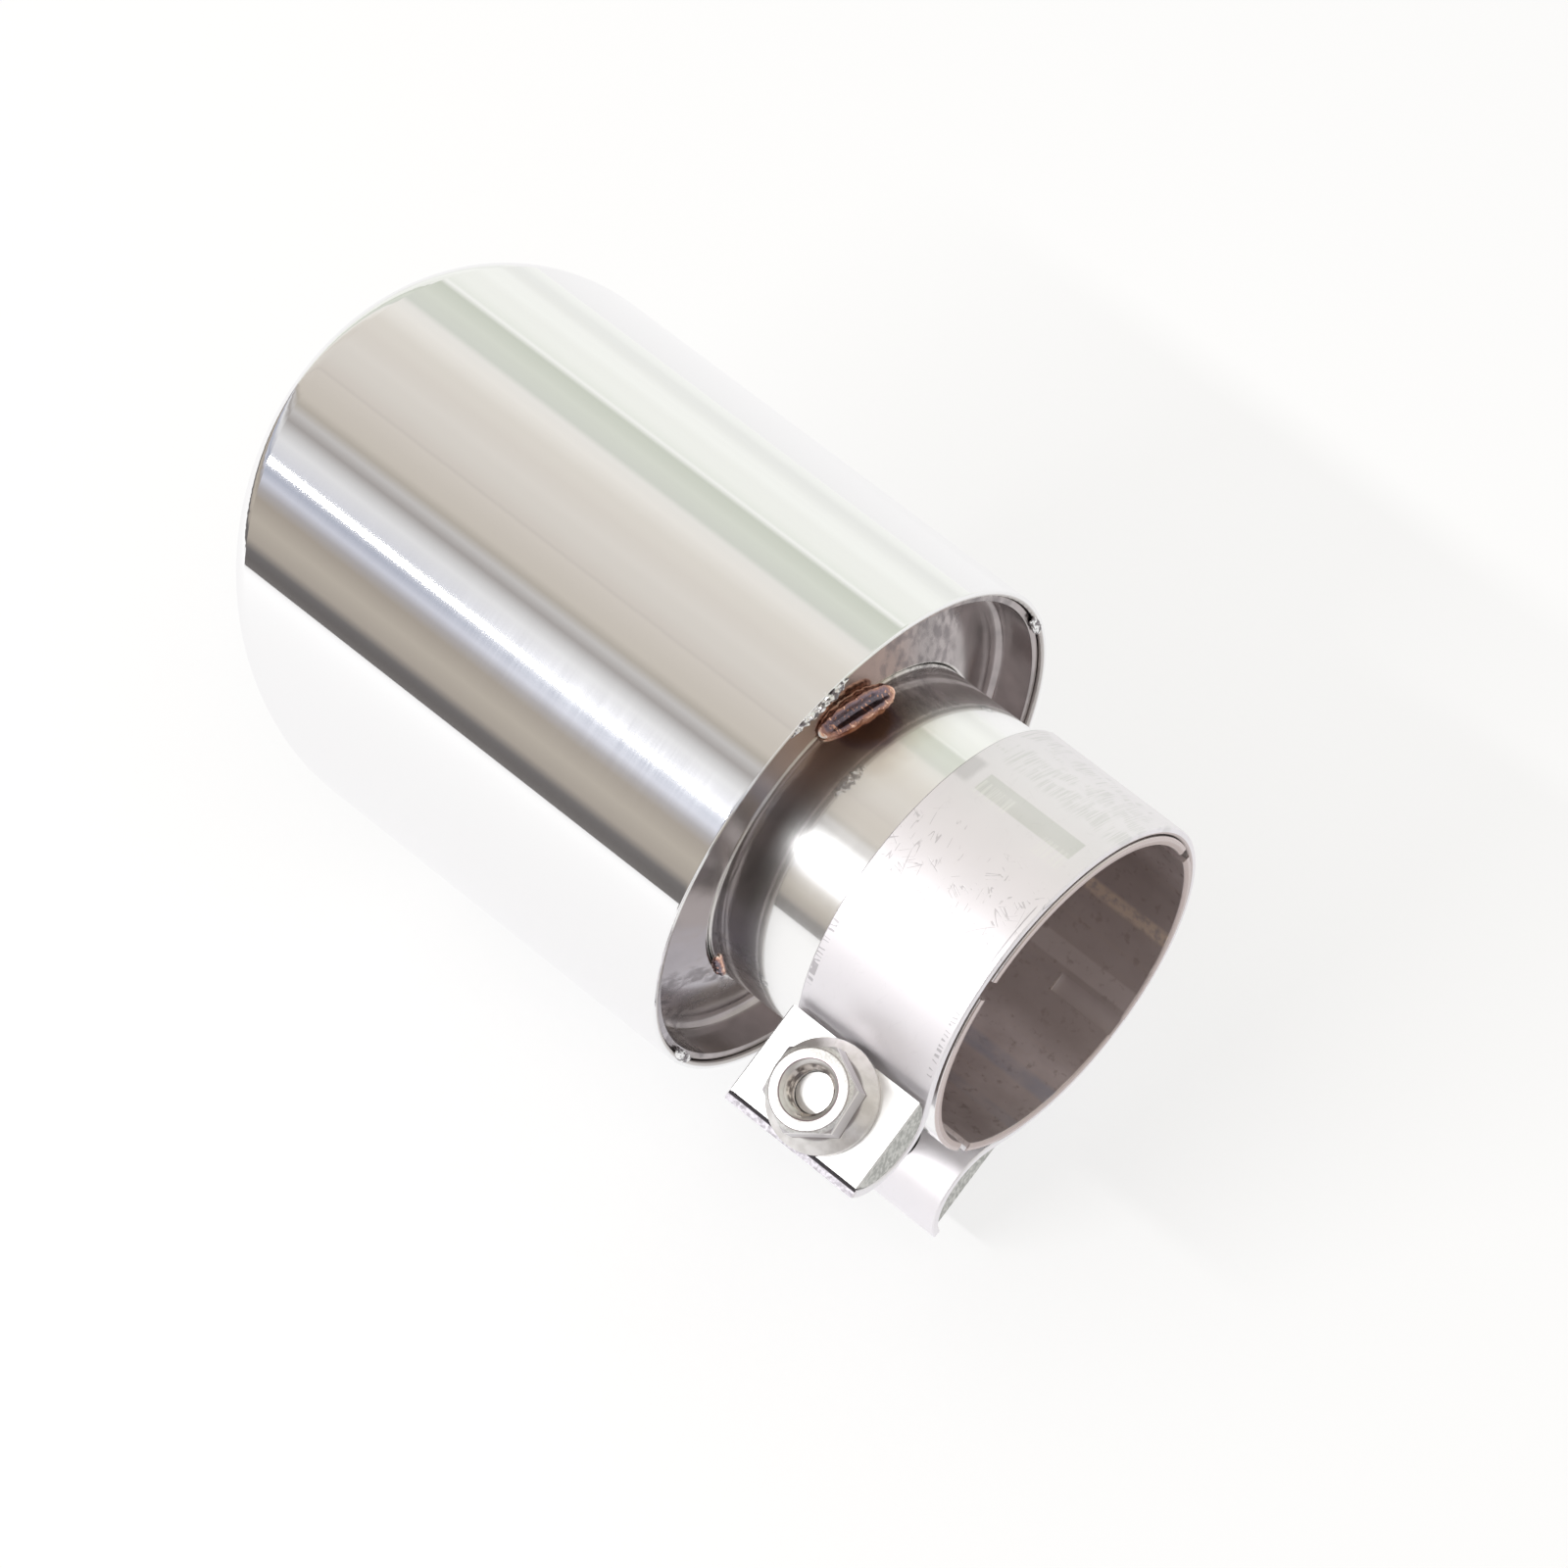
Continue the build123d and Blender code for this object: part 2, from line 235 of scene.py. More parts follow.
# %% The room that the steel reflects
ROOM = (
    (0, (0.88, 0.89, 0.86)),  # low window
    (10, (0.98, 0.99, 0.95)),
    (28, (0.91, 0.92, 0.87)),
    (32, (0.86, 0.88, 0.82)),
    (33.2, (1.0, 1.0, 0.97)),  # bright window edge
    (36, (0.62, 0.65, 0.57)),  # window frame
    (44, (0.73, 0.76, 0.68)),
    (52, (0.67, 0.69, 0.63)),
    (54.5, (0.85, 0.83, 0.79)),  # warm ceiling
    (60, (0.86, 0.83, 0.78)),
    (68, (0.76, 0.72, 0.66)),
    (76, (0.71, 0.665, 0.61)),
    (84, (0.73, 0.69, 0.64)),
    (92, (0.70, 0.66, 0.61)),
    (98, (0.655, 0.605, 0.555)),
    (99, (0.60, 0.555, 0.51)),  # joint in the ceiling
    (100, (0.66, 0.61, 0.555)),
    (112, (0.60, 0.55, 0.49)),
    (115.5, (0.46, 0.42, 0.37)),  # two dark mouldings
    (119, (0.56, 0.54, 0.53)),
    (123, (0.38, 0.355, 0.345)),
    (127, (0.62, 0.61, 0.61)),
    (131, (0.77, 0.765, 0.775)),  # pale wall behind the lamp
    (136, (0.66, 0.66, 0.70)),
    (144.5, (0.38, 0.405, 0.49)),
    (148, (0.60, 0.61, 0.69)),
    (152, (0.40, 0.38, 0.39)),
    (156, (0.38, 0.335, 0.29)),  # taupe wall
    (164, (0.49, 0.44, 0.38)),
    (172, (0.41, 0.365, 0.32)),
    (176, (0.16, 0.15, 0.15)),  # dark skirting
    (180, (0.13, 0.12, 0.12)),
)
SMUDGE = (0.45, 0.41, 0.36)
SMUDGE_SHARE = 0.10

world = bpy.data.worlds.new("studio_room")
bpy.context.scene.world = world
world.use_nodes = True
world.node_tree.nodes.clear()
room = Wire(world.node_tree)
direction = room.node("TexCoord", output="Generated")
to_far, to_top = direction.axes()[1:]
angle_up = room.math("ARCTAN2", to_top, to_far).unsigned() / pi
painted = room.node("ValToRGB", {"stops": [(angle / 180, colour) for angle, colour in ROOM]},
                    inputs={0: angle_up})
smudged = direction.grain(0.8, 7.0, 7.0, detail=3.0).fade(0.35, 0.75)
painted = blended(smudged * SMUDGE_SHARE, painted, SMUDGE)
camera_ray = room.node("LightPath", output="Is Camera Ray")
dome = room.node("Background", inputs={"Color": blended(camera_ray, painted, (1, 1, 1))})
room.node("OutputWorld", inputs={"Surface": dome})
print("room painted with", len(ROOM), "stops")

# %% [markdown]
# One long, narrow lamp stands on the clamp's side. It draws the thin white line down the shell and
# the broad glow on the satin strap. A wide soft lamp beside it lifts the floor to the level at which
# a colour looks as it is written. It is hidden from reflections, because a second bright panel in
# the polished shell would be plainly seen.

# %% Lamps
LAMP_TARGET = Vector((-0.06, 0, 0))
LAMP_DISTANCE = 1.1
LONG_TOWARDS = Vector((-0.292, -0.732, 0.615))
LONG_LENGTH = 0.60
LONG_WIDTH = 0.04
LONG_RADIANCE = 80.0
SOFT_TOWARDS = Vector((-0.45, -0.40, 0.80))
SOFT_SIZE = 0.9
SOFT_RADIANCE = 1.1


def add_lamp(name, towards_it, length, width, radiance):
    """A rectangular lamp that faces the tip, its length along the pipe."""
    data = bpy.data.lights.new(name, "AREA")
    data.shape = "RECTANGLE"
    data.size = length
    data.size_y = width
    data.energy = radiance * length * width * pi
    made = bpy.data.objects.new(name, data)
    bpy.context.scene.collection.objects.link(made)
    back = towards_it.normalized()
    side = (ALONG_PIPE - back * back.x).normalized()
    turning = Matrix((side, back.cross(side), back)).transposed().to_4x4()
    made.matrix_world = Matrix.Translation(LAMP_TARGET + back * LAMP_DISTANCE) @ turning
    print(name, round(data.energy, 2), "W")
    return made


add_lamp("long_lamp", LONG_TOWARDS, LONG_LENGTH, LONG_WIDTH, LONG_RADIANCE)
add_lamp("soft_lamp", SOFT_TOWARDS, SOFT_SIZE, SOFT_SIZE, SOFT_RADIANCE).visible_glossy = False

# %% [markdown]
# The floor is a white table. Where it ends on the clamp's side matters, because the steel shows
# that edge as the line between the white floor and the dark skirting.

# %% Floor
FLOOR_LEFT, FLOOR_RIGHT, FLOOR_NEAR, FLOOR_FAR = -1.6, 1.6, -1.25, 0.5
FLOOR_DROP = 0.00003

floor_size = (FLOOR_RIGHT - FLOOR_LEFT, FLOOR_FAR - FLOOR_NEAR, 1)
floor_level = -SHELL_R * MM - FLOOR_DROP
floor_middle = ((FLOOR_LEFT + FLOOR_RIGHT) / 2, (FLOOR_NEAR + FLOOR_FAR) / 2, floor_level)
floor_mesh = bmesh.new()
bmesh.ops.create_grid(floor_mesh, x_segments=1, y_segments=1, size=0.5)
bmesh.ops.scale(floor_mesh, verts=floor_mesh.verts, vec=floor_size)
bmesh.ops.translate(floor_mesh, verts=floor_mesh.verts, vec=floor_middle)
floor_data = bpy.data.meshes.new("floor")
floor_mesh.to_mesh(floor_data)
floor_mesh.free()
floor = bpy.data.objects.new("floor", floor_data)
bpy.context.scene.collection.objects.link(floor)
print("floor", [round(v, 3) for v in floor.dimensions])

# %% [markdown]
# What the camera and the steel see of the table is mostly a plain white, and the rest is a real
# lit surface, so the tip's own shadow still lies on it. The steel sees a slightly greyer white,
# or the shell's lower edge would vanish against the table.

# %% Table white
PLAIN_SHARE = 0.70
PLAIN_SHARE_IN_STEEL = 0.80
WHITE = (1.0, 1.0, 1.0)
WHITE_IN_STEEL = (0.965, 0.96, 0.97)
LIT_WHITE = (0.93, 0.93, 0.93, 1)

table_white = bpy.data.materials.new("table_white")
table_white.use_nodes = True
table_white.node_tree.nodes.clear()
table = Wire(table_white.node_tree)
rays = table.node("LightPath").socket.node.outputs
camera_ray, glossy_ray, through_ray = [
    Wire(table.tree, rays[name]) for name in ("Is Camera Ray", "Is Glossy Ray", "Is Transmission Ray")]
plain = (camera_ray + through_ray) * PLAIN_SHARE + glossy_ray * PLAIN_SHARE_IN_STEEL
lit = table.node("BsdfDiffuse", inputs={"Color": LIT_WHITE})
seen_white = blended(glossy_ray, WHITE, WHITE_IN_STEEL)
glow = table.node("Emission", inputs={"Color": seen_white, "Strength": 1.0})
seen = table.node("MixShader", inputs={0: plain, 1: lit, 2: glow})
table.node("OutputMaterial", inputs={"Surface": seen})
floor_data.materials.append(table_white)
print("table white has", len(table_white.node_tree.nodes), "nodes")

# %% [markdown]
# ## Finishes
#
# Every finish starts from the place on the object in millimetres, because that is how a maker
# thinks of scratches and grain, and ends in a metal shader. Only its colour, roughness and bump
# change over the surface.
#
# Brushed or buffed metal shines twice: a sharp reflection, and a soft glow from its fine lines.
# The glow is a second metal shader with a higher roughness, mixed in by a share called the haze.


# %% Starting and ending a finish
def new_finish(name):
    """An empty material, and a wire that carries the place on the object in millimetres."""
    material = bpy.data.materials.new(name)
    material.use_nodes = True
    material.node_tree.nodes.clear()
    start = Wire(material.node_tree)
    metres = start.node("TexCoord", output="Object")
    scaling = {"Vector": metres, "Scale": 1 / MM}
    return material, start.node("VectorMath", {"operation": "SCALE"}, inputs=scaling)


def as_metal(place, colour, roughness, height=None, haze=None, haze_roughness=None):
    """Ends a finish. height is the relief in millimetres, and haze the share of the soft glow."""
    inputs = {"Base Color": colour, "Metallic": 1.0}
    if height is not None:
        inputs["Normal"] = place.node("Bump", inputs={"Strength": 1.0, "Distance": MM, "Height": height})
    surface = place.node("BsdfPrincipled", inputs={**inputs, "Roughness": roughness})
    if haze is not None:
        soft = place.node("BsdfPrincipled", inputs={**inputs, "Roughness": haze_roughness})
        surface = place.node("MixShader", inputs={0: haze, 1: surface, 2: soft})
    place.node("OutputMaterial", inputs={"Surface": surface})


def round_the_pipe(place):
    """Distance along the pipe, distance from its axis, and a maker of masks by angle round it."""
    x, y, z = place.axes()
    radius = (y * y + z * z) ** 0.5
    across_y, across_z = y / radius, z / radius

    def around(angle, half_width, edge):
        """1 within half_width degrees of an angle round the pipe, fading to 0 over the edge."""
        agreement = across_y * cos(radians(angle)) + across_z * sin(radians(angle))
        return agreement.fade(cos(radians(half_width + edge)), cos(radians(half_width)))

    return x, radius, around


def faces_along(place, axis):
    """1 where the surface looks straight along an axis, either way, and 0 where it lies beside it."""
    return place.node("TexCoord", output="Normal").along(axis).unsigned()


def dress(name, material):
    """Puts a finish on a CAD node's own slots."""
    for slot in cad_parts[name].material_slots:
        slot.material = material


print("finish helpers ready")

# %% [markdown]
# ### Polished shell
#
# The outside is buffed to a mirror. Buffing leaves very fine lines round the tube, too fine to see
# one by one: they only make the lamp's line wider and mistier, more so near the rear rim, so the
# haze grows from the mouth to the rim. The inside of the tube is never polished, so it is darker
# and duller, apart from the rolled lip at the mouth.

# %% Polished shell
MIRROR = (0.94, 0.94, 0.94)
UNPOLISHED = (0.56, 0.53, 0.51)
LEAST_HAZE, MORE_HAZE = 0.008, 0.036

polish, place = new_finish("mirror_polish")
x, radius, _ = round_the_pipe(place)
inside = radius.fade(SHELL_R - 0.5, SHELL_R - 0.9) * x.fade(-112, -108)
buffing = place.grain(5.0, 0.05, 0.05, detail=1.0).fade(0.25, 0.75)
wide_buffing = place.grain(0.35, 0.03, 0.03).fade(0.3, 0.7)
drawing = place.grain(0.01, 0.9, 0.9).fade(0.62, 0.75)
haze = LEAST_HAZE + x.fade(-115, -65) * MORE_HAZE
as_metal(place, blended(inside, MIRROR, UNPOLISHED), 0.03 + drawing * 0.02 + inside * 0.25,
         haze=haze * (0.65 + buffing * 0.4 + wide_buffing * 0.3), haze_roughness=0.25)
dress("outer_shell", polish)
print("polish has", len(polish.node_tree.nodes), "nodes")

# %% [markdown]
# ### Back plate
#
# The plate is pressed from plain sheet and then sits in the heat of the welds. It stays dull and
# grey-brown, browner beside the big weld, with soot-like blotches where polishing paste and fumes
# have settled. The edge of its hole is painted as a thin pale ring.

# %% Back plate
plate_steel, place = new_finish("pressed_plate")
x, radius, around = round_the_pipe(place)
cloud = place.grain(0.12, 0.12, 0.12, detail=4.0)
specks = place.grain(0.45, 0.45, 0.45, detail=7.0)
sooty = (around(52, 12, 14) + around(206, 8, 12)) * specks.fade(0.40, 0.66)
pale = around(190, 14, 10) * cloud.fade(0.35, 0.55)
shaded = around(155, 26, 22)
heated = around(88, 12, 26)
hole_edge = radius.fade(PIPE_R + 0.7, PIPE_R + 0.35) * x.fade(-46.9, -46.5)

colour = blended(cloud.fade(0.35, 0.7), (0.45, 0.405, 0.40), (0.33, 0.30, 0.295))
colour = blended(pale * 0.5, colour, (0.56, 0.54, 0.60))
colour = blended(shaded * 0.28, colour, (0.20, 0.175, 0.17))
colour = blended(heated * 0.75, colour, (0.34, 0.24, 0.20))
colour = blended(hole_edge * 0.8, colour, (0.80, 0.78, 0.76))
colour = blended(sooty * 0.6, colour, (0.17, 0.15, 0.16))
as_metal(place, colour, 0.13 + cloud * 0.08 + sooty * 0.2)
dress("back_plate", plate_steel)
print("plate has", len(plate_steel.node_tree.nodes), "nodes")

# %% [markdown]
# ### Inlet pipe
#
# Outside, the pipe is polished, with brown and straw heat colours round the weld. A colour ramp
# read by the distance from the middle of the weld gives them in the order in which heat makes
# them, and a little noise keeps the rings from being perfect circles.

# %% Outside of the pipe
WELD_MIDDLE = ALONG_PIPE * -43.5 + radial(86) * PIPE_R
HEAT_REACH = 14.0
HEAT_COLOURS = (
    (0.0, (0.20, 0.13, 0.12)), (0.30, (0.34, 0.22, 0.16)), (0.38, (0.42, 0.34, 0.36)),
    (0.46, (0.70, 0.63, 0.58)), (0.60, (0.87, 0.83, 0.77)), (0.78, (0.96, 0.95, 0.92)),
    (1.0, (0.98, 0.98, 0.97)))

pipe_steel, place = new_finish("heat_stained_pipe")
x, radius, around = round_the_pipe(place)
cloud = place.grain(0.10, 0.16, 0.16, detail=4.0)
from_weld = place.distance(WELD_MIDDLE) + cloud * 5 - 2.5
polished = place.node("ValToRGB", {"stops": HEAT_COLOURS}, inputs={0: from_weld / HEAT_REACH})
hairlines = place.grain(3.5, 0.1, 0.1, detail=3.0).fade(0.35, 0.7)
print("heat colours reach", HEAT_REACH, "mm")

# %% [markdown]
# Inside, the pipe has never been cleaned after it was rolled and welded, so it is a stained
# grey-brown, darker on the far side, with a pale, straw-coloured seam and two faint blue lines
# along its whole length. The stains are laid one over another. The end face is dull from the saw.

# %% Inside of the pipe
inside = radius.fade(28.5, 28.1)
sawn_end = x.fade(-0.35, -0.12)
specks = place.grain(0.7, 0.7, 0.7, detail=3.0)
lengthwise = place.grain(0.015, 0.5, 0.5)
far_side = around(318, 30, 14)
pale_strip = around(307, 3.0, 1.0)
seam = around(332, 1.4, 2.0)
blue_line = around(266, 1.0, 3.0) + around(248, 0.6, 2.6) * 0.5

stained = blended(cloud.fade(0.3, 0.7), (0.96, 0.89, 0.89), (0.78, 0.71, 0.71))
stained = blended(lengthwise.fade(0.5, 0.8) * 0.5, stained, (0.95, 0.85, 0.80))
stained = blended(far_side * 0.65, stained, (0.46, 0.40, 0.38))
stained = blended(pale_strip * 0.4, stained, (0.95, 0.88, 0.86))
stained = blended(specks.fade(0.56, 0.74) * 0.5, stained, (0.42, 0.35, 0.33))
stained = blended(seam * specks.fade(0.25, 0.6) * 0.8, stained, (1.0, 0.86, 0.72))
stained = blended(blue_line * cloud.fade(0.2, 0.6) * 0.6, stained, (0.58, 0.63, 0.76))
colour = blended(sawn_end, blended(inside, polished, stained), (0.62, 0.54, 0.52))
as_metal(place, colour, 0.05 + inside * 0.36 + sawn_end * 0.2 + specks.fade(0.55, 0.8) * 0.04,
         haze=(0.46 + hairlines * 0.08) * (1 - inside), haze_roughness=0.27)
dress("inlet_pipe", pipe_steel)
print("pipe has", len(pipe_steel.node_tree.nodes), "nodes")

# %% [markdown]
# ### Clamp strap
#
# The strap is cut from satin sheet and bent by hand, so it is the most handled surface. The marks
# on it are masks: fine hairlines where it was held, a rectangular imprint with brushed patches,
# scratches that run round with the bending, and small ticks of the tool along both edges.
#
# A hairline is a thin level line of a stretched noise, turned on the surface and broken up by a
# second noise. Three directions are enough to look like none.


# %% Marks on the strap
def scratches(place, angle):
    """Short, fine scratches that run at an angle to X."""
    turned = place.node("Mapping", inputs={"Vector": place, "Rotation": (0, 0, radians(angle)),
                                           "Location": (angle, angle, 0)})
    line = turned.grain(0.08, 0.85, 0.08, detail=1.0).near(0.5, 0.006, 0.010)
    return line * turned.grain(0.35, 0.35, 0.35).fade(0.55, 0.60)


strap_steel, place = new_finish("satin_strap")
x, radius, around = round_the_pipe(place)
cloud = place.grain(0.12, 0.12, 0.12, detail=3.0)
round_lines = place.grain(5.0, 0.12, 0.12, detail=3.0)
held = around(108, 9, 6) * 0.9 + 0.1
hairline = (scratches(place, 25) + scratches(place, 80) + scratches(place, 140)).lesser(1.0) * held
imprint = around(80.5, 3.4, 0.6) * x.near(-12.7, 9.2, 0.3) * (cloud * 0.8 + 0.5)
grey_patch = around(79.5, 3.4, 2.5) * x.near(-25.4, 1.0, 1.2)
brushed = around(82.5, 2.4, 1.0) * x.near(-19, 3.0, 0.6) + around(86, 2.8, 1.0) * x.near(-6.05, 2.4, 0.5)
scratched = around(54, 12, 6) * place.grain(0.3, 0.3, 0.3).fade(0.42, 0.58)
bright = (brushed + scratched * 0.6) * round_lines.fade(0.35, 0.72)
edge_line = around(111.5, 9, 2) * x.near(-1.4, 0.05, 0.08)
ticks = around(149, 11, 2) * (x.near(-25.6, 0.5, 0.1) + x.near(-1.4, 0.4, 0.1))
ticks = ticks * place.grain(0.2, 1.1, 1.1, detail=1.0).near(0.5, 0.03, 0.02)
print("strap marked")

# %% [markdown]
# The strap's two cut ends look along the bolt and lie level with the spacers' flats. They are
# sheared, so they are rough and grey, and the slit between strap and spacer is painted on them as a
# dark line of shade.

# %% Clamp strap
satin = place.grain(1.2, 0.12, 0.12, detail=4.0)
torn = place.grain(1.6, 1.6, 1.6, detail=5.0)
lining = radius.fade(PIPE_R + 0.75, PIPE_R + 0.55)
height_from_gap = place.along(UP_THE_BOLT, BOLT_CENTRE).unsigned()
across_bow = place.along(OUT_OF_GAP, BOLT_CENTRE)
from_bow = (across_bow ** 2 + (height_from_gap - BOW_HEIGHT) ** 2) ** 0.5
sheared = faces_along(place, UP_THE_BOLT).fade(0.8, 0.92) * height_from_gap.near(SEAT_HEIGHT, 1.6, 0.2)

colour = blended(cloud, (0.99, 0.97, 0.995), (0.93, 0.915, 0.94))
colour = blended(imprint * 0.5, colour, (0.68, 0.70, 0.66))
colour = blended(grey_patch * 0.35, colour, (0.55, 0.54, 0.55))
dark_marks = (hairline * 0.32 + edge_line * 0.5 + ticks * 0.45).lesser(1.0)
colour = blended(dark_marks, colour, (0.32, 0.30, 0.32))
colour = blended(scratched * round_lines.fade(0.44, 0.60) * 0.5, colour, (0.66, 0.66, 0.67))
colour = blended(bright * 0.6, colour, (1.0, 1.0, 0.99))
end_colour = blended(torn.fade(0.35, 0.65), (0.42, 0.40, 0.43), (0.66, 0.64, 0.68))
# painted shade: the slit beside the spacer, painted near-black on the strap's cut ends
end_colour = blended(from_bow.fade(8.55, 8.4), end_colour, (0.05, 0.045, 0.05))
colour = blended(sheared, colour, end_colour)
colour = blended(lining, colour, (0.68, 0.61, 0.60))
relief = bright * 0.02 - hairline * 0.012 + satin * 0.003 + sheared * torn * 0.12
as_metal(place, colour, 0.47 + satin * 0.08 - imprint * 0.12, relief, haze=0.45, haze_roughness=0.75)
dress("clamp_strap", strap_steel)
print("strap has", len(strap_steel.node_tree.nodes), "nodes")

# %% [markdown]
# ### Spacers
#
# The half-round spacers are sawn from bar: smooth on the round and on the flat, rough and torn on
# the ends. The direction in which the surface faces tells the ends from the rest, so one finish
# serves both spacers. Where the round meets the strap it lies in the shade of the slit.

# %% Spacers
spacer_steel, place = new_finish("sawn_bar")
torn = place.grain(0.8, 1.6, 0.9, detail=6.0)
end_face = faces_along(place, ALONG_PIPE).fade(0.6, 0.9)
height_from_gap = place.along(UP_THE_BOLT, BOLT_CENTRE).unsigned()
beside_strap = faces_along(place, UP_THE_BOLT).fade(0.6, 0.4)
in_the_slit = beside_strap * height_from_gap.fade(SEAT_HEIGHT - 1.4, SEAT_HEIGHT - 1.0) * (1 - end_face)

end_colour = blended(torn.fade(0.36, 0.62), (0.66, 0.66, 0.63), (0.44, 0.445, 0.42))
colour = blended(end_face, (0.97, 0.97, 0.965), end_colour)
colour = blended(in_the_slit, colour, (0.06, 0.055, 0.06))
as_metal(place, colour, 0.47 + torn * 0.06, torn * end_face * 0.12)
dress("upper_spacer", spacer_steel)
dress("lower_spacer", spacer_steel)
print("spacers have", len(spacer_steel.node_tree.nodes), "nodes")

# %% [markdown]
# ### Nut and bolt
#
# The nut is pressed and then turned. Its facets are painted a little darker, with a painted highlight
# along their upper edges and painted shade at their foot; its crown is a bright ring between two thin
# dark lines of painted shade; and the bolt's end is painted white as a highlight, in a mottled bore
# with a painted shadow round it. All of these are rings round the bolt, so one finish serves the nut
# and the bolt alike: it reads the height over the nut's seat and the distance from the bolt's axis.

# %% Nut and bolt steel
FLANGE_TOP = 2.35
FACET_TOP = 6.35
CROWN_TOP = 7.0
BOLT_END = 3.65
HEX_CHAMFER_R = 6.3
COUNTERSINK_R = 4.72

fastener_steel, place = new_finish("fastener_steel")
turned = place.grain(0.6, 0.6, 0.6, detail=4.0)
fine = place.grain(3.0, 3.0, 3.0)
height = place.along(UP_THE_BOLT, BOLT_CENTRE) - SEAT_HEIGHT
from_bolt = place.vector("SUBTRACT", place, tuple(BOLT_CENTRE))
sideways = from_bolt.vector("CROSS_PRODUCT", from_bolt, tuple(UP_THE_BOLT))
off_axis = sideways.vector("LENGTH", sideways, output="Value")

over_seat = height.fade(0.0, 0.2)
flange = height.fade(FLANGE_TOP + 0.15, FLANGE_TOP - 0.15) * height.fade(-0.1, 0.1)
facet = height.fade(FLANGE_TOP - 0.15, FLANGE_TOP + 0.15) * off_axis.fade(6.25, 6.45)
# painted highlight along the facets' upper edges, and painted shade at their foot
edge_highlight = facet * height.near(FACET_TOP, 0.2, 0.15)
foot_shade = facet * height.near(FLANGE_TOP + 0.15, 0.2, 0.3)
crown = height.fade(CROWN_TOP - 0.1, CROWN_TOP + 0.1) * off_axis.fade(4.6, 4.7)
# painted shade: two thin dark lines at the edges of the crown
rings = off_axis.near(COUNTERSINK_R, 0.07, 0.06) * 0.85 + off_axis.near(HEX_CHAMFER_R, 0.07, 0.06) * 0.45
rings = rings * height.fade(6.6, 6.8)
in_bore = off_axis.fade(4.15, 4.0) * over_seat * height.fade(6.8, 6.5)
# painted shadow round the bolt's end, at the bottom of the bore
end_shadow = off_axis.fade(3.55, 3.7) * off_axis.fade(4.15, 4.0) * over_seat * height.fade(4.4, 4.0)
# painted highlight: the bolt's end is painted white
bolt_end = height.near(BOLT_END, 0.35, 0.1) * (off_axis + turned * 0.4).fade(3.75, 3.55)

colour = blended(turned.fade(0.3, 0.7), (0.90, 0.88, 0.865), (0.76, 0.74, 0.72))
colour = blended(facet, colour, (0.66, 0.64, 0.655))
colour = blended(edge_highlight * 0.8, colour, (1.0, 0.98, 0.95))
colour = blended(foot_shade * 0.7, colour, (0.20, 0.17, 0.16))
colour = blended(crown, colour, blended(fine.fade(0.35, 0.65), (0.72, 0.72, 0.70), (0.88, 0.88, 0.87)))
colour = blended(rings, colour, (0.20, 0.13, 0.15))
colour = blended(in_bore, colour, blended(turned.fade(0.4, 0.6), (0.24, 0.21, 0.20), (0.86, 0.80, 0.75)))
colour = blended(end_shadow * 0.9, colour, (0.07, 0.06, 0.06))
colour = blended(bolt_end, colour, (1.0, 1.0, 0.99))
as_metal(place, colour, 0.20 + turned * 0.08 + crown * 0.15 + bolt_end * 0.2 + flange * 0.08,
         turned * 0.015 + fine * 0.003, haze=0.5, haze_roughness=0.5)
print("fasteners have", len(fastener_steel.node_tree.nodes), "nodes")

# %% [markdown]
# ### Weld metal
#
# Weld metal cools in small overlapping waves and keeps the heat's colours: copper on the raised
# edges of a bead, purple and brown in the hollow between them, with a few silvery streaks. How near
# a point is to its bead's edges is stored with the mesh as an attribute, and picks its colour from
# a ramp. The tacks on the rim had less heat, so they are silver with dark pits.

# %% Weld metal
COPPER = (
    (0.0, (0.16, 0.14, 0.17)), (0.28, (0.26, 0.19, 0.22)), (0.5, (0.50, 0.27, 0.21)),
    (0.7, (0.95, 0.60, 0.46)), (0.88, (1.0, 0.90, 0.80)), (1.0, (0.98, 0.98, 0.96)))

weld_metal, place = new_finish("weld_metal")
patch = place.grain(0.5, 0.5, 0.5, detail=3.0)
crest = place.node("Attribute", {"attribute_name": "crest"}, 2)
streak = place.grain(0.3, 2.4, 2.4).fade(0.58, 0.66) * (1 - crest)
warmth = crest * 0.85 + patch * 0.7 - 0.34 + streak * 0.5
colour = place.node("ValToRGB", {"stops": COPPER}, inputs={0: warmth})
as_metal(place, colour, 0.16 + patch * 0.12, place.grain(1.6, 1.6, 1.6) * 0.04)

tack_metal, place = new_finish("tack_metal")
patch = place.grain(0.9, 0.9, 0.9, detail=4.0)
colour = blended(patch.fade(0.42, 0.56), (0.20, 0.18, 0.19), (0.95, 0.95, 0.94))
as_metal(place, colour, 0.15 + patch * 0.15, patch * 0.14)
print("weld metals ready")

# %% [markdown]
# ## New pieces
#
# Each new piece is a bmesh in millimetres until it is finished. One helper then gives it its
# size in metres, its finish, its body and the CAD nodes that it stands for.

# %% From a shape to a piece
SHARP_ANGLE = 35


def add_piece(name, shape, material, slot, *nodes):
    """Makes an object of a bmesh in millimetres, and lets it stand for CAD nodes."""
    bmesh.ops.recalc_face_normals(shape, faces=shape.faces)
    bmesh.ops.scale(shape, verts=shape.verts, vec=(MM, MM, MM))
    for face in shape.faces:
        face.smooth = True
    data = bpy.data.meshes.new(name)
    shape.to_mesh(data)
    shape.free()
    data.materials.append(material)
    data.set_sharp_from_angle(angle=radians(SHARP_ANGLE))
    made = bpy.data.objects.new(name, data)
    bpy.context.scene.collection.objects.link(made)
    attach(made, "root")
    if nodes:
        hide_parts(*nodes)
    print(name, "has", len(data.polygons), "faces")


print("piece helper ready")

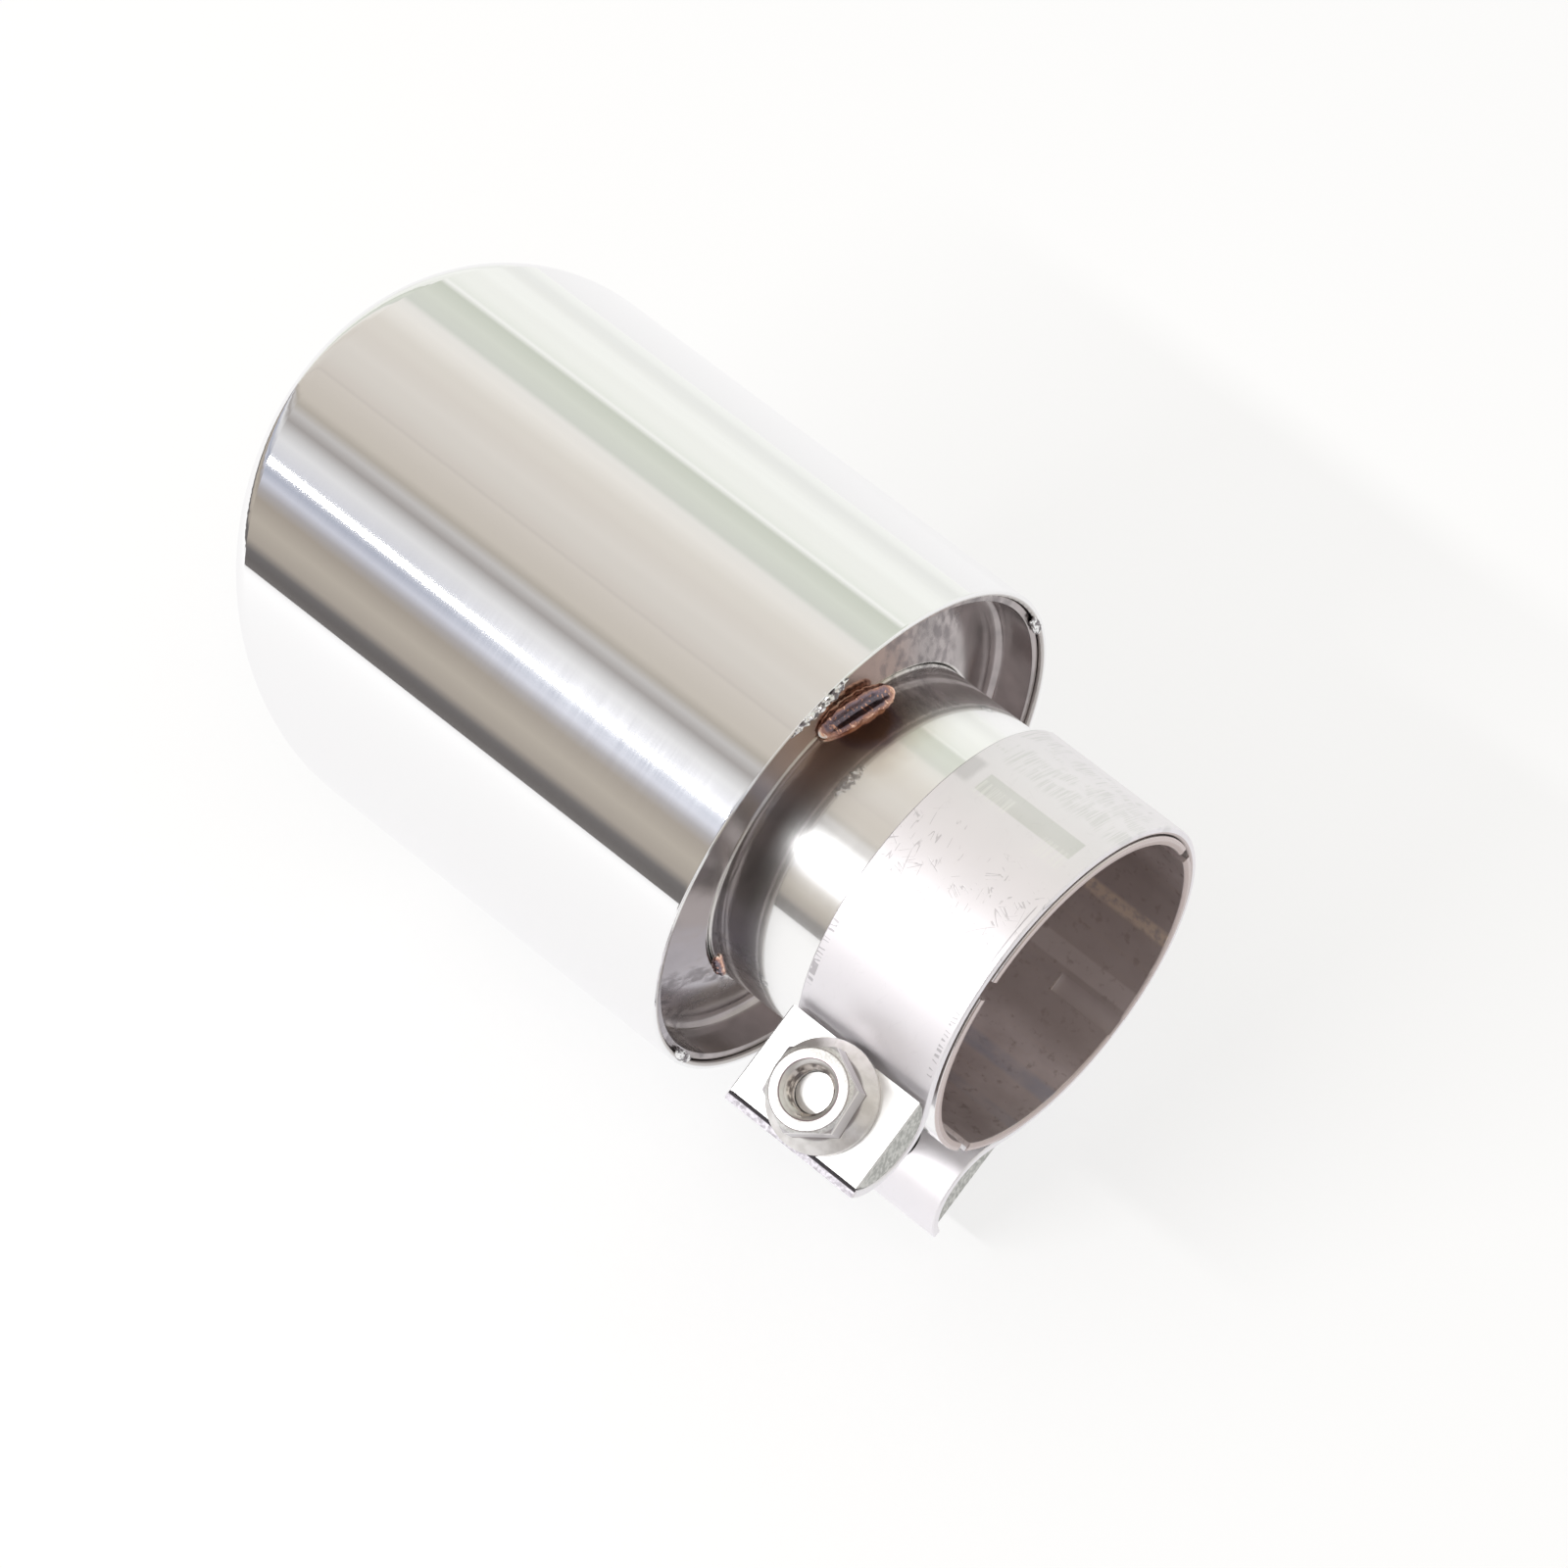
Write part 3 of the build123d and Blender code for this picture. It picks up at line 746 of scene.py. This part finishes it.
# %% [markdown]
# ### Weld beads
#
# A bead starts as a sphere whose poles become its two ends. Its points are then moved to lie along
# the corner between two sheets: it is stretched round the pipe, flattened, hollowed along its
# middle and rippled. A sphere was chosen because it is closed, so no bead can have an open end.

# %% Shape of a bead
RIPPLES = 9
HOLLOW_WIDTH = 0.45


def bead_shape(middle, span, corner, slant, size, lean, hollow, ripple, ragged):
    """A bead round the pipe.

    middle and span are angles round the pipe, and corner is the (x, radius) that the bead fills.
    slant is its drift along X towards its ends, size its half width and height, and lean the
    angle by which it bulges from straight out. The last three are depths as shares of its size.
    """
    shape = bmesh.new()
    bmesh.ops.create_uvsphere(shape, u_segments=48, v_segments=64, radius=1.0)
    crest = shape.verts.layers.float.new("crest")
    outward = Vector((sin(radians(lean)), cos(radians(lean))))
    across = Vector((outward.y, -outward.x))
    for vert in shape.verts:
        side, height, along = vert.co
        dip = hollow * exp(-(side / HOLLOW_WIDTH) ** 2) * max(height, 0.0)
        wave = ripple * sin(2 * pi * RIPPLES * (along + 0.1 * side * side)) * max(height, 0.0)
        rough = ragged * noise.noise(Vector((side * 2, height * 2, along * span * 0.4 + middle)))
        vert[crest] = min(1.0, abs(side) ** 1.5 + abs(along) ** 6)
        spot = (Vector(corner) + across * (side * size[0] * (1 + rough))
                + outward * ((height - dip + wave) * size[1] * (1 + rough)))
        angle = middle - along * span / 2
        vert.co = Vector((spot.x + slant * along, 0, 0)) + radial(angle) * spot.y
    return shape


print("a bead has", RIPPLES, "ripples")

# %% [markdown]
# Three beads hold the pipe in the plate, and four rows of tacks hold the plate in the shell. The
# longest of each is on top. The tacks are alike, so what they share is written down once.

# %% Weld beads
PIPE_BEADS = {
    "pipe_weld_top": dict(middle=86.0, span=28.0, corner=(-44.7, 29.9), slant=1.0, size=(2.5, 1.6),
                          lean=35, hollow=0.75, ripple=0.04, ragged=0.12),
    "pipe_weld_side": dict(middle=195.0, span=19.0, corner=(-45.1, 29.3), slant=0.6, size=(0.9, 0.7),
                           lean=35, hollow=0.1, ripple=0.06, ragged=0.25),
    "pipe_weld_far": dict(middle=308.0, span=18.0, corner=(-45.0, 29.8), slant=0.4, size=(2.0, 1.2),
                          lean=35, hollow=0.3, ripple=0.06, ragged=0.2),
}
TACK = dict(corner=(-43.4, 43.1), slant=0.0, size=(0.8, 0.6), lean=80, hollow=0.1, ripple=0.05, ragged=0.5)
RIM_BEADS = {
    "rim_weld_top": {**TACK, "middle": 100.5, "span": 17.0, "corner": (-43.4, 43.3), "slant": 0.1,
                     "size": (0.9, 0.75), "ragged": 0.9},
    "rim_weld_side": {**TACK, "middle": 207.0, "span": 9.0},
    "rim_weld_low": {**TACK, "middle": 291.0, "span": 8.0},
    "rim_weld_far": {**TACK, "middle": 15.5, "span": 8.0},
}
for beads, material in ((PIPE_BEADS, weld_metal), (RIM_BEADS, tack_metal)):
    for name, numbers in beads.items():
        add_piece(name + "_bead", bead_shape(**numbers), material, "weld_metal", name)

# %% [markdown]
# ### Threads
#
# The bolt and the nut are joined by a coarse thread. A thread is made along Z, where it is easy to
# think about, and is stood on the bolt's axis when it is finished. These helpers serve both of them.

# %% Thread helpers
PITCH = 1.25
TURN_STEPS = 48
JOIN_WITHIN = 0.001


def upright(shape):
    """Stands a shape made along Z on the clamp bolt's axis."""
    stand = Matrix((ALONG_PIPE, UP_THE_BOLT.cross(ALONG_PIPE), UP_THE_BOLT)).transposed().to_4x4()
    bmesh.ops.transform(shape, matrix=Matrix.Translation(BOLT_CENTRE) @ stand, verts=shape.verts)


def climb(shape, geometry, turns):
    """Spins geometry round Z while it climbs one pitch a turn."""
    bmesh.ops.spin(shape, geom=geometry, cent=(0, 0, 0), axis=(0, 0, 1), angle=2 * pi * turns,
                   dvec=(0, 0, PITCH / TURN_STEPS), steps=round(TURN_STEPS * turns))


def cut_flat(shape, point, axis):
    """Cuts a shape across an axis, drops what lies beyond the point and closes the hole."""
    cut = bmesh.ops.bisect_plane(shape, geom=shape.verts[:] + shape.edges[:] + shape.faces[:],
                                 plane_co=point, plane_no=axis, clear_outer=True)
    rim = [edge for edge in cut["geom_cut"] if isinstance(edge, bmesh.types.BMEdge)]
    bmesh.ops.contextual_create(shape, geom=rim)


def copy_of_node(name):
    """A copy of a CAD node in millimetres, its loose triangles joined."""
    shape = bmesh.new()
    shape.from_mesh(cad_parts[name].data)
    bmesh.ops.scale(shape, verts=shape.verts, vec=(1 / MM, 1 / MM, 1 / MM))
    bmesh.ops.remove_doubles(shape, verts=shape.verts, dist=JOIN_WITHIN)
    return shape


print("thread pitch", PITCH, "mm")

# %% [markdown]
# The shank's thread is one zigzag outline turned round the bolt while it climbs one pitch for each
# turn. The outline is as long as the bolt, so after one turn every tooth lands on its neighbour's
# start. The uneven ends are then cut off flat, and the tip is bevelled by pulling its rim inwards.

# %% Threaded shank
CREST_R = 3.9
ROOT_R = 3.25
TOOTH = ((0.0, CREST_R), (0.12, CREST_R), (0.5, ROOT_R), (0.62, ROOT_R))  # share of pitch, radius
SHANK_LENGTH = 45.1
TIP_BEVEL = 0.7

bottom = -SEAT_HEIGHT
top = bottom + SHANK_LENGTH
shank = bmesh.new()
outline = []
tooth_start = bottom - PITCH
while tooth_start < top + PITCH:
    for share, tooth_r in TOOTH:
        outline.append(shank.verts.new((tooth_r, 0, tooth_start + share * PITCH)))
    tooth_start += PITCH
zigzag = [shank.edges.new(pair) for pair in zip(outline, outline[1:])]
climb(shank, outline + zigzag, 1)
bmesh.ops.remove_doubles(shank, verts=shank.verts, dist=JOIN_WITHIN)
cut_flat(shank, (0, 0, bottom), (0, 0, -1))
cut_flat(shank, (0, 0, top), (0, 0, 1))
for vert in shank.verts:
    allowed = CREST_R - TIP_BEVEL + max(0.0, top - vert.co.z)
    reach = vert.co.xy.length
    if reach > allowed:
        vert.co.xy = vert.co.xy * (allowed / reach)
upright(shank)
print("shank has", len(shank.faces), "faces")

# %% [markdown]
# The bolt's head is right as it is in the CAD model, so it is copied from there. A copied solid is
# loose triangles, which are joined before the old plain shank is cut off and the new one added.

# %% Bolt head with its new shank
head = copy_of_node("clamp_bolt")
cut_flat(head, BOLT_CENTRE + UP_THE_BOLT * bottom, UP_THE_BOLT)
shank_data = bpy.data.meshes.new("shank")
shank.to_mesh(shank_data)
shank.free()
head.from_mesh(shank_data)
bpy.data.meshes.remove(shank_data)
add_piece("clamp_bolt_threaded", head, fastener_steel, "fastener_steel", "clamp_bolt")

# %% [markdown]
# The nut is also copied, because a real nut has no edge as sharp as a solid's. Its triangles are
# joined into whole faces first, so that a narrow bevel along the sharp edges has room.

# %% Nut with rounded edges
NUT_BEVEL = 0.16
FLAT_WITHIN = 1.5
SHARP_FROM = 24

nut = copy_of_node("flange_nut")
bmesh.ops.dissolve_limit(nut, angle_limit=radians(FLAT_WITHIN), verts=nut.verts, edges=nut.edges)
sharp = [edge for edge in nut.edges
         if len(edge.link_faces) == 2 and edge.calc_face_angle() > radians(SHARP_FROM)]
bmesh.ops.bevel(nut, geom=sharp, offset=NUT_BEVEL, affect="EDGES", segments=2, profile=0.5, material=-1,
                clamp_overlap=True)
print("rounded", len(sharp), "edges")
add_piece("flange_nut_rounded", nut, fastener_steel, "fastener_steel", "flange_nut")

# %% [markdown]
# The thread in the nut's bore is a ridge of its own: one tooth's section, spun a few turns from
# the bolt's end up to the nut's crown, which is where it can be seen.

# %% Thread inside the nut
NUT_BORE_R = 3.98
RIDGE_R = 3.40
RIDGE_START = 23.7
RIDGE_HALF_FOOT = 0.56
RIDGE_HALF_TOP = 0.08
NUT_THREAD_TURNS = 2.8

ridge = bmesh.new()
section = [ridge.verts.new((ridge_r, 0, RIDGE_START + level)) for ridge_r, level in
           ((NUT_BORE_R, -RIDGE_HALF_FOOT), (RIDGE_R, -RIDGE_HALF_TOP),
            (RIDGE_R, RIDGE_HALF_TOP), (NUT_BORE_R, RIDGE_HALF_FOOT))]
climb(ridge, [ridge.faces.new(section)], NUT_THREAD_TURNS)
upright(ridge)
add_piece("nut_thread", ridge, fastener_steel, "fastener_steel")

# %% [markdown]
# ## Finish the scene
#
# The view transform is the plain one, so a colour comes out as it was written.

# %% View
bpy.context.scene.view_settings.view_transform = "Standard"
